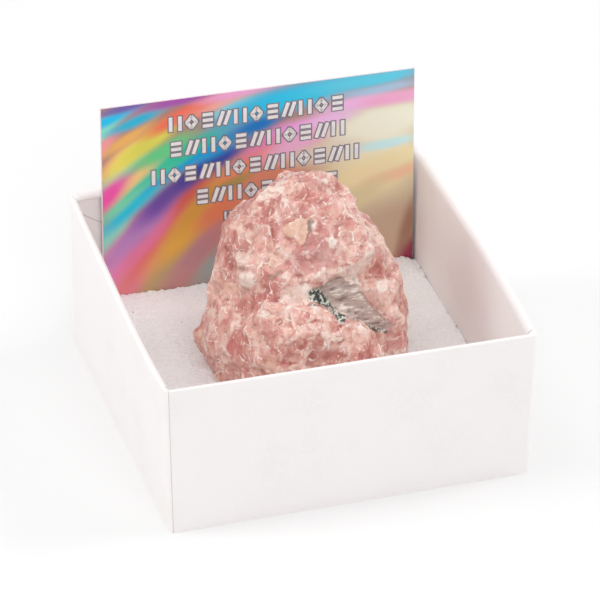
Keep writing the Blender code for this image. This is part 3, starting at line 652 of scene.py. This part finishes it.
PEACH_BREAKS = (
    (True, 0.0, 1.0, ((-3.1, -1.8, 35.3), (-2.4, -1.7, 36.2), (-0.1, -2.1, 37.2), (1.1, -2.6, 37.1),
                      (0.9, -3.6, 36.2), (0.5, -4.3, 35.0), (-0.2, -4.9, 33.9), (-0.8, -4.9, 33.7),
                      (-1.1, -4.1, 34.5), (-2.7, -2.8, 34.9))),
    (True, 0.1, 0.8, ((-5.5, -3.2, 32.1), (-4.4, -3.8, 32.2), (-5.1, -5.3, 31.1), (-6.0, -4.9, 31.0))),
    (True, 0.1, 0.7, ((-8.9, -12.6, 19.0), (-7.8, -14.3, 19.5), (-7.7, -13.9, 16.6), (-8.8, -12.1, 15.9))),
    (True, 0.2, 0.7, ((-12.2, 2.5, 24.4), (-10.7, -0.8, 25.6), (-10.8, -1.1, 24.2), (-12.2, 1.7, 23.1))),
)
ROSE_HEARTS = (
    (True, 0.4, 1.0, ((-2.4, -5.2, 33.0), (0.2, -4.5, 34.5), (3.3, -4.1, 35.5), (5.5, -5.7, 34.3),
                      (5.0, -7.2, 32.8), (3.7, -8.2, 31.3), (1.1, -8.0, 30.4), (-1.6, -7.7, 29.5),
                      (-2.9, -6.9, 30.5))),
    (True, 0.3, 0.7, ((-9.8, -10.3, 23.8), (-8.1, -11.8, 25.3), (-8.5, -13.0, 23.7), (-9.6, -11.4, 22.0))),
    (True, 0.3, 0.7, ((11.8, -4.5, 30.0), (14.2, -2.9, 28.7), (15.2, -3.2, 26.2), (12.6, -4.7, 27.6))),
    (True, 0.2, 0.7, ((-1.2, -15.4, 20.8), (1.3, -15.9, 20.6), (1.2, -16.3, 18.8), (-0.8, -15.8, 18.9))),
    (True, 0.3, 0.9, ((12.2, -9.3, 17.3), (14.2, -9.1, 16.8), (17.4, -4.5, 11.3), (13.2, -9.7, 14.6))),
    (False, 0.5, 1.0, ((12.1, -9.5, 16.2), (12.4, -9.7, 14.5))),
)
PALE_BREAKS = (
    (True, 0.0, 0.4, ((-3.0, 1.8, 38.2), (-2.1, 1.1, 38.9), (-0.3, 1.7, 39.1), (0.2, -0.7, 38.6),
                      (-0.2, -1.5, 37.6), (-2.3, -1.2, 36.6), (-3.1, -0.5, 36.3), (-3.1, 0.5, 37.6))),
    (True, 0.0, 0.9, ((4.8, -14.2, 22.3), (6.4, -13.4, 22.4), (8.2, -13.4, 21.2), (8.4, -13.8, 19.9),
                      (6.4, -15.1, 20.0), (4.7, -15.3, 21.1))),
    (True, 0.0, 0.8, ((1.9, -15.6, 21.0), (3.1, -15.2, 21.7), (4.6, -15.6, 20.8), (4.4, -16.2, 19.6),
                      (2.8, -16.4, 19.8))),
    (True, 0.0, 0.9, ((-0.1, 4.1, 40.6), (1.7, 3.1, 41.2), (2.3, 2.3, 40.7), (1.0, 2.4, 39.8),
                      (-0.0, 2.6, 39.7))),
    (True, 0.0, 0.9, ((8.0, -7.1, 26.5), (11.1, -5.1, 26.0), (14.7, -4.0, 24.6), (16.6, -3.8, 20.8),
                      (15.8, -7.6, 18.7), (13.2, -9.6, 19.1), (10.8, -8.6, 21.7), (8.8, -8.1, 24.8))),
    (True, 0.0, 0.7, ((8.8, 0.6, 38.4), (10.1, -1.1, 35.8), (12.9, -0.1, 31.4), (14.6, -2.5, 28.4),
                      (13.2, -4.3, 29.1), (11.1, -3.1, 32.3), (8.6, -2.7, 35.9), (7.6, -0.7, 37.9))),
    (True, 0.0, 0.6, ((-12.7, 2.8, 22.2), (-11.4, 0.6, 25.1), (-9.0, -4.8, 27.5), (-8.4, -5.6, 26.5),
                      (-9.8, -3.0, 24.2), (-12.5, 1.6, 21.9))),
    (True, 0.0, 0.6, ((-12.0, 0.5, 26.5), (-10.5, -1.5, 30.0), (-7.0, -4.0, 31.0), (-7.2, -5.5, 27.0),
                      (-9.5, -3.0, 25.0))),
    (True, 0.0, 0.45, ((1.0, 3.0, 41.5), (3.0, 0.5, 40.5), (6.5, 0.5, 40.0), (7.5, 2.0, 41.0),
                       (4.5, 4.0, 42.5))),
    (True, 0.0, 0.6, ((4.4, -3.2, 36.0), (6.5, -2.6, 35.8), (7.6, -5.2, 33.4), (5.8, -6.8, 32.6),
                      (4.6, -5.2, 34.2))),
)


def scatter(cells, salt):
    """Three numbers from 0 to 1 for each whole-numbered cell, the same on every run."""
    mixed = cells @ np.array(((127.1, 269.5, 113.5), (311.7, 183.3, 271.9), (74.7, 246.1, 124.6)))
    seeds = np.sin(mixed + salt) * 43758.5453
    return seeds - np.floor(seeds)


def break_up(spots, size, slope):
    """Height of the scooped, tilted break at each spot, and the break's own tone."""
    scaled = spots / size
    best, tone = np.full(len(spots), 9.0), np.zeros(len(spots))
    for step in itertools.product((-1, 0, 1), repeat=3):
        cell = np.floor(scaled) + step
        off = scaled - cell - scatter(cell, size)
        tilt = 1.4 * scatter(cell, size + 5) - 0.7
        height = (off * tilt).sum(1) + BREAK_HOLLOW * (off ** 2).sum(1)
        closer = height < best
        tone = np.where(closer, scatter(cell, size + 9)[:, 0], tone)
        best = np.where(closer, height, best)
    return slope * size * best, tone


def patch_strength(warped, patches):
    """How much of a mineral shows at each spot: 1 inside its patches, 0 away from them."""
    strength = np.zeros(len(warped))
    for closed, reach, amount, outline in patches:
        corners = np.array(outline)
        ends = np.roll(corners, -1, axis=0) if closed else corners[1:]
        starts = corners if closed else corners[:-1]
        off = np.full(len(warped), 1e9)
        for start, end in zip(starts, ends):
            run = end - start
            share = np.clip((warped - start) @ run / (run @ run), 0, 1)
            off = np.minimum(off, np.linalg.norm(warped - start - share[:, None] * run, axis=1))
        if closed:
            centre = corners.mean(0)
            _, _, axes = np.linalg.svd(corners - centre)
            flat, plan = (warped - centre) @ axes[:2].T, (corners - centre) @ axes[:2].T
            close = np.abs((warped - centre) @ axes[2]) < 2.5
            inside = np.zeros(len(warped), bool)
            for (x0, y0), (x1, y1) in zip(plan, np.roll(plan, -1, axis=0)):
                crosses = (y0 > flat[:, 1]) != (y1 > flat[:, 1])
                inside ^= crosses & (flat[:, 0] < (x1 - x0) * (flat[:, 1] - y0) / (y1 - y0 + 1e-12) + x0)
            off = np.where(inside & close, -off, off)
        strength = np.maximum(strength, amount * np.clip(0.5 - (off - reach) / PATCH_FADE, 0, 1))
    return strength


lump = bmesh.new()
lump.from_mesh(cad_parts["rhodochrosite"].data)
bmesh.ops.remove_doubles(lump, verts=lump.verts, dist=0.001 * MM)
rough_mesh = bpy.data.meshes.new("rough_lump")
lump.to_mesh(rough_mesh)
lump.free()
rough = bpy.data.objects.new("rough_lump", rough_mesh)
bpy.context.scene.collection.objects.link(rough)
remesh = rough.modifiers.new("fine_even_mesh", "REMESH")
remesh.mode = "VOXEL"
remesh.voxel_size = STONE_MESH_SIZE
fine_mesh = bpy.data.meshes.new_from_object(rough.evaluated_get(bpy.context.evaluated_depsgraph_get()))
bpy.data.objects.remove(rough, do_unlink=True)

lump = bmesh.new()
lump.from_mesh(fine_mesh)
bmesh.ops.smooth_vert(lump, verts=lump.verts, factor=0.5, use_axis_x=True, use_axis_y=True, use_axis_z=True)
lump.normal_update()
spots = np.array([vert.co for vert in lump.verts]) / MM
noise.seed_set(WANDER_SEED)
wander = np.array([noise.noise_vector(Vector(spot) / PATCH_WARP_SIZE) for spot in spots])
wander += 0.5 * np.array([noise.noise_vector(Vector(spot) / (0.4 * PATCH_WARP_SIZE)) for spot in spots])
looks = {}
for name, patches, ragged in (("crust", CRUSTS, 1.0), ("cleavage", GREY_CLEAVAGE, 0.3),
                              ("hem", DARK_HEM, 0.6), ("slit", DARK_SLITS, 0.6),
                              ("fibre", FIBROUS_CRUST, 1.0), ("peach", PEACH_BREAKS, 0.4),
                              ("rose", ROSE_HEARTS, 1.8), ("pale", PALE_BREAKS, 0.5)):
    looks[name] = patch_strength(spots + ragged * PATCH_WARP * wander, patches)
flat_here = np.maximum(looks["cleavage"], np.maximum(0.8 * looks["peach"], 0.6 * looks["pale"]))
dip_centre, dip_reach, dip_depth = WASTE
dip = np.clip(1 - np.linalg.norm(spots - np.array(dip_centre), axis=1) / dip_reach, 0, 1)
heights = -SET_BACK - dip_depth * dip ** 2 * (3 - 2 * dip)
tones = []
for size, slope, loss in BREAKS:
    height, tone = break_up(spots, size, slope)
    heights += (height - height.mean()) * (1 - loss * flat_here)
    tones.append(tone)
looks["break_tone"], looks["small_break_tone"] = tones[:2]
heights += PITTING * np.array([noise.noise(Vector(spot) / PITTING_SIZE) for spot in spots])
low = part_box("rhodochrosite")[0].z
for vert, height in zip(lump.verts, heights):
    seated = vert.co.z < low + SEAT_BAND
    vert.co = vert.co + vert.normal * float(height) * MM * (SEAT_ROUGH if seated else 1.0)
    if seated:
        vert.co.z = min(vert.co.z, low + SEAT_FLAT) - SEAT_SINK
lump.normal_update()

# Proud edges have been bruised pale, and hollows get painted shade: measure how far each spot stands above
# its neighbours.
place = np.array([vert.co for vert in lump.verts]) / MM
pairs = np.array([[vert.index for vert in edge.verts] for edge in lump.edges])
count = np.bincount(pairs.ravel(), minlength=len(place))[:, None]
average = place.copy()
for _ in range(4):
    total = np.zeros_like(average)
    for axis in range(3):
        total[:, axis] = (np.bincount(pairs[:, 0], average[pairs[:, 1], axis], minlength=len(place))
                          + np.bincount(pairs[:, 1], average[pairs[:, 0], axis], minlength=len(place)))
    average = total / count
normals = np.array([vert.normal for vert in lump.verts])
looks["proud"] = np.clip(((place - average) * normals).sum(1) / PROUD_FULL, -1, 1)
shade_smooth(lump, SHARP_BREAK)

# Massive rhodochrosite with calcite and quartz, broken and left raw: waxy, half clear rose grains
# with pale bruised borders, and small painted glints, bright specks where a fresh grain face would catch the
# light.
SPAR_DEEP, SPAR_ROSE, SPAR_PINK, SPAR_PALE = "#C87A72", "#D9988D", "#E6B2A4", "#F2D4C6"
CRUST_CREAM, CRUST_WHITE, CRUST_PIT, FIBRE_WHITE = "#F0D2C2", "#FAEBE2", "#CB9484", "#F6E0D3"
CLEAVAGE_GREY, CLEAVAGE_PALE = "#B29992", "#D9C7BD"
HEM_BLACK, HEM_GREEN, HEM_PALE = "#333A33", "#7D8579", "#DFE2D8"
GRAINS, SMALL_GRAINS = 2.3, 1.0     # mm across a grain
GRAIN_STEP, SMALL_GRAIN_STEP = 0.26, 0.12     # share of the slope that a grain's face takes
GLINT_SPACING = 0.75                # mm, coarser than real glints, so that they show
FIBRE_SLANT, CLEAVAGE_SLANT = math.radians(40), math.radians(-42)
CHIP_DEPTH = 0.09                   # mm
raw_spar, tree, shader, points = start_material("rough_rhodochrosite_spar")
look = {name: add(tree, "Attribute", attribute_name=name).outputs["Fac"] for name in looks}


def broken_grains(size):
    """Voronoi grains: a number for each, the height of its tilted face, and the distance to its edge."""
    cells = add(tree, "TexVoronoi", {"Vector": wavy, "Scale": 1 / size})
    edges = add(tree, "TexVoronoi", {"Vector": wavy, "Scale": 1 / size}, feature="DISTANCE_TO_EDGE")
    own = add(tree, "SeparateColor", {0: cells.outputs["Color"]}).outputs[0]
    off = add(tree, "VectorMath", {0: wavy, 1: cells.outputs["Position"]}, operation="SUBTRACT")
    tilt = add(tree, "VectorMath", {0: cells.outputs["Color"], 1: (0.5, 0.5, 0.5)}, operation="SUBTRACT")
    height = add(tree, "VectorMath", {0: off.outputs[0], 1: tilt.outputs[0]}, operation="DOT_PRODUCT")
    edge = add(tree, "Math", {0: edges.outputs["Distance"], 1: size}, operation="MULTIPLY")
    return own, height.outputs["Value"], edge.outputs[0]


def lay_coats(ground, coats):
    """Lay minerals over a ground colour. A coat has its cover, its colour, and the patterns that
    limit it: the value where it is absent, the value where it is whole, and any least share."""
    for cover, tint, patterns in coats:
        for source, absent, whole, *least in patterns:
            part = add(tree, "MapRange", {"Value": source, "From Min": absent, "From Max": whole,
                                          "To Min": least[0] if least else 0.0})
            cover = add(tree, "Math", {0: part.outputs[0], 1: cover}, operation="MULTIPLY").outputs[0]
        colour = linear(tint) if isinstance(tint, str) else tint
        ground = add(tree, "Mix", {0: cover, 6: ground, 7: colour}, data_type="RGBA").outputs[2]
    return ground


# Patterns in the mineral, each with its size in mm.
clouds = add(tree, "TexNoise", {"Vector": points, "Scale": 1 / 5.0, "Detail": 2.0}).outputs["Fac"]
patchy = add(tree, "TexNoise", {"Vector": points, "Scale": 1 / 1.3, "Detail": 5.0, "Roughness": 0.62,
                                "Distortion": 0.6}).outputs["Fac"]
sugar = add(tree, "TexNoise", {"Vector": points, "Scale": 1 / 0.42, "Detail": 3.0,
                               "Roughness": 0.65}).outputs["Fac"]
blotch = add(tree, "TexNoise", {"Vector": points, "Scale": 1 / 0.55, "Detail": 2.0,
                                "Roughness": 0.6}).outputs["Fac"]
zone = add(tree, "TexNoise", {"Vector": points, "Scale": 1 / 1.5, "Detail": 1.0, "W": 7.0},
           noise_dimensions="4D").outputs["Fac"]
other_zone = add(tree, "TexNoise", {"Vector": points, "Scale": 1 / 1.4, "Detail": 1.0, "W": 3.0},
                 noise_dimensions="4D").outputs["Fac"]
stir = add(tree, "TexNoise", {"Vector": points, "Scale": 1 / 2.5, "Detail": 2.0})
stir_by = add(tree, "VectorMath", {0: stir.outputs["Color"], 1: (0.5, 0.5, 0.5)}, operation="SUBTRACT")
wavy = add(tree, "VectorMath", {0: stir_by.outputs[0], 1: (1.1, 1.1, 1.1), 2: points},
           operation="MULTIPLY_ADD").outputs[0]
veined = add(tree, "TexNoise", {"Vector": wavy, "Scale": 1 / 2.0, "Detail": 4.0,
                                "Roughness": 0.55}).outputs["Fac"]
grain_tone, grain_height, grain_edge = broken_grains(GRAINS)
small_tone, small_height, small_edge = broken_grains(SMALL_GRAINS)
glints = add(tree, "TexVoronoi", {"Vector": points, "Scale": 1 / GLINT_SPACING})
glint_pick = add(tree, "SeparateColor", {0: glints.outputs["Color"]}).outputs[1]
combed = add(tree, "Mapping", {"Vector": points, "Rotation": (0.0, FIBRE_SLANT, 0.0),
                               "Scale": (0.28, 1.2, 1.6)}).outputs["Vector"]
fibres = add(tree, "TexNoise", {"Vector": combed, "Scale": 1 / 0.45, "Detail": 3.0,
                                "Roughness": 0.6}).outputs["Fac"]
cleaved_along = add(tree, "Mapping", {"Vector": points, "Rotation": (0.0, CLEAVAGE_SLANT, 0.0),
                                      "Scale": (0.4, 1.6, 1.6)}).outputs["Vector"]
laths = add(tree, "TexNoise", {"Vector": cleaved_along, "Scale": 1 / 1.2, "Detail": 5.0,
                               "Roughness": 0.7}).outputs["Fac"]

# The spar's own tone: each break and each grain has one, under slow clouds and fine patches.
wide_clouds = add(tree, "MapRange", {"Value": clouds, "From Min": 0.3, "From Max": 0.7}).outputs[0]
wide_patches = add(tree, "MapRange", {"Value": patchy, "From Min": 0.3, "From Max": 0.7}).outputs[0]
tone = 0.0
for source, weight in ((look["break_tone"], 0.34), (look["small_break_tone"], 0.24),
                       (grain_tone, 0.30), (small_tone, 0.08), (wide_clouds, 0.26),
                       (wide_patches, 0.22)):
    tone = add(tree, "Math", {0: source, 1: weight, 2: tone}, operation="MULTIPLY_ADD").outputs[0]
tone = add(tree, "MapRange", {"Value": tone, "From Min": 0.3, "From Max": 1.15}).outputs[0]
spar = add(tree, "ValToRGB", {0: tone},
           stops=((0.08, linear(SPAR_DEEP)), (0.36, linear(SPAR_ROSE)), (0.62, linear(SPAR_PINK)),
                  (0.95, linear(SPAR_PALE)))).outputs["Color"]

# Rose hearts and peach breaks are clean: no chalky borders and no glints.
part_rose = add(tree, "Math", {0: look["rose"], 1: 0.6}, operation="MULTIPLY").outputs[0]
clean = add(tree, "Math", {0: look["peach"], 1: part_rose}, operation="MAXIMUM").outputs[0]
spar = lay_coats(spar, (
    (0.60, "#C47A78", ((look["rose"], 0, 1),)),
    (0.75, "#EFC8BB", ((look["pale"], 0, 1),)),
    (0.95, "#E6B89F", ((look["peach"], 0, 1),)),
    # Mottling, with painted shade deeper in the hollows and between grains, paler on proud and bruised
    # edges.
    (0.20, "#B4665F", ((sugar, 0.46, 0.34),)),
    (0.20, "#F6DDD2", ((sugar, 0.54, 0.70),)),
    (0.50, "#F3D8CB", ((veined, 0.54, 0.68),)),
    (0.50, "#B35F5B", ((veined, 0.45, 0.33),)),
    # Painted shade: darker rose where a spot lies below its neighbours, in the hollows.
    (0.60, "#A65249", ((look["proud"], -0.15, -0.8),)),
    (0.75, CRUST_WHITE, ((look["proud"], 0.2, 0.8), (patchy, 0.38, 0.58, 0.133))),
    # Borders of grains, dark with painted shade in some places and white in others, and the painted glints.
    # Painted shade: dark lines along some grain borders, where the facets meet in crevices.
    (0.45, "#A0524B", ((grain_edge, 0.16, 0.02), (other_zone, 0.50, 0.42), (clean, 1, 0))),
    (0.60, "#FFF3EA", ((small_edge, 0.08, 0.04), (zone, 0.46, 0.42), (other_zone, 0.48, 0.44),
                       (patchy, 0.44, 0.50), (clean, 1, 0))),
    (0.80, "#FFF5EC", ((grain_edge, 0.11, 0.05), (zone, 0.50, 0.54), (other_zone, 0.50, 0.54),
                       (clean, 1, 0))),
    # Painted glints: small bright specks in the colour, where a grain face would catch the light.
    (0.80, "#FDF3EC", ((glints.outputs["Distance"], 0.20, 0.12), (glint_pick, 0.76, 0.80), (clean, 1, 0))),
))

# The other minerals: pitted crust, the grey face's laths and the blotched hem, and painted shade in the
# slits.
crust = lay_coats(linear(CRUST_CREAM), ((1.0, CRUST_WHITE, ((patchy, 0.3, 0.62),)),
                                        (0.75, CRUST_PIT, ((sugar, 0.43, 0.34),))))
grey = lay_coats(linear(CLEAVAGE_GREY), ((1.0, CLEAVAGE_PALE, ((laths, 0.40, 0.62),)),
                                         (1.0, "#F4EBE4", ((laths, 0.56, 0.62),)),
                                         (1.0, "#83706A", ((laths, 0.43, 0.36),))))
# Painted shade in the slits: dark greyish brown, mottled a little lighter.
slit_shade = lay_coats(linear("#6B6157"), ((1.0, "#A99384", ((sugar, 0.4, 0.6),)),))
hem = lay_coats(linear(HEM_BLACK), ((1.0, HEM_GREEN, ((blotch, 0.46, 0.49),)),
                                    (1.0, HEM_PALE, ((blotch, 0.53, 0.56),))))
crusted = add(tree, "Math", {0: look["crust"], 1: patchy}, operation="MULTIPLY").outputs[0]
spar = lay_coats(spar, (
    (1.0, crust, ((look["crust"], 0, 1), (patchy, 0.30, 0.42, 0.5))),
    (1.0, FIBRE_WHITE, ((look["fibre"], 0, 1), (fibres, 0.40, 0.56, 0.25))),
    (1.0, grey, ((look["cleavage"], 0, 1), (crusted, 0.43, 0.36))),
    (1.0, slit_shade, ((look["slit"], 0, 1),)),
    (1.0, hem, ((look["hem"], 0, 1),)),
))
tree.links.new(spar, shader.inputs["Base Color"])

# Grains stand as small tilted facets, but hardly on the grey face and the peach breaks.
waxy = add(tree, "MapRange", {"Value": sugar, "From Min": 0.35, "From Max": 0.65,
                              "To Min": 0.28, "To Max": 0.6})
tree.links.new(waxy.outputs[0], shader.inputs["Roughness"])
flat_grey = add(tree, "Math", {0: look["cleavage"], 1: 0.8}, operation="MULTIPLY").outputs[0]
flat_peach = add(tree, "Math", {0: look["peach"], 1: 0.9}, operation="MULTIPLY").outputs[0]
flat = add(tree, "Math", {0: flat_grey, 1: flat_peach}, operation="MAXIMUM").outputs[0]
grainy = add(tree, "Math", {0: 1.0, 1: flat}, operation="SUBTRACT").outputs[0]
tilted = add(tree, "Math", {0: grain_height, 1: grainy}, operation="MULTIPLY").outputs[0]
small_tilted = add(tree, "Math", {0: small_height, 1: grainy}, operation="MULTIPLY").outputs[0]
facets = add(tree, "Bump", {"Strength": 1.0, "Distance": GRAIN_STEP * MM, "Height": tilted})
small_facets = add(tree, "Bump", {"Strength": 1.0, "Distance": SMALL_GRAIN_STEP * MM,
                                  "Height": small_tilted, "Normal": facets.outputs["Normal"]})
chips = add(tree, "Math", {0: sugar, 1: 0.6, 2: patchy}, operation="MULTIPLY_ADD").outputs[0]
lath_steps = add(tree, "Math", {0: laths, 1: 0.9}, operation="MULTIPLY").outputs[0]
chips = add(tree, "Mix", {0: look["cleavage"], 2: chips, 3: lath_steps}).outputs[0]
chipped = add(tree, "Bump", {"Strength": 0.4, "Distance": CHIP_DEPTH * MM, "Height": chips,
                             "Normal": small_facets.outputs["Normal"]})
tree.links.new(chipped.outputs["Normal"], shader.inputs["Normal"])
shader.inputs["Specular IOR Level"].default_value = 0.5
shader.inputs["IOR"].default_value = 1.6
shader.inputs["Subsurface Weight"].default_value = 0.25
shader.inputs["Subsurface Radius"].default_value = (1.0, 0.45, 0.35)
shader.inputs["Subsurface Scale"].default_value = 0.6 * MM

stone = finished("stone_rhodochrosite", lump, raw_spar)
for name, values in looks.items():
    layer = stone.data.attributes.new(name, "FLOAT", "POINT")
    layer.data.foreach_set("value", values.astype(np.float32))
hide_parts("rhodochrosite")
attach(stone, "root")
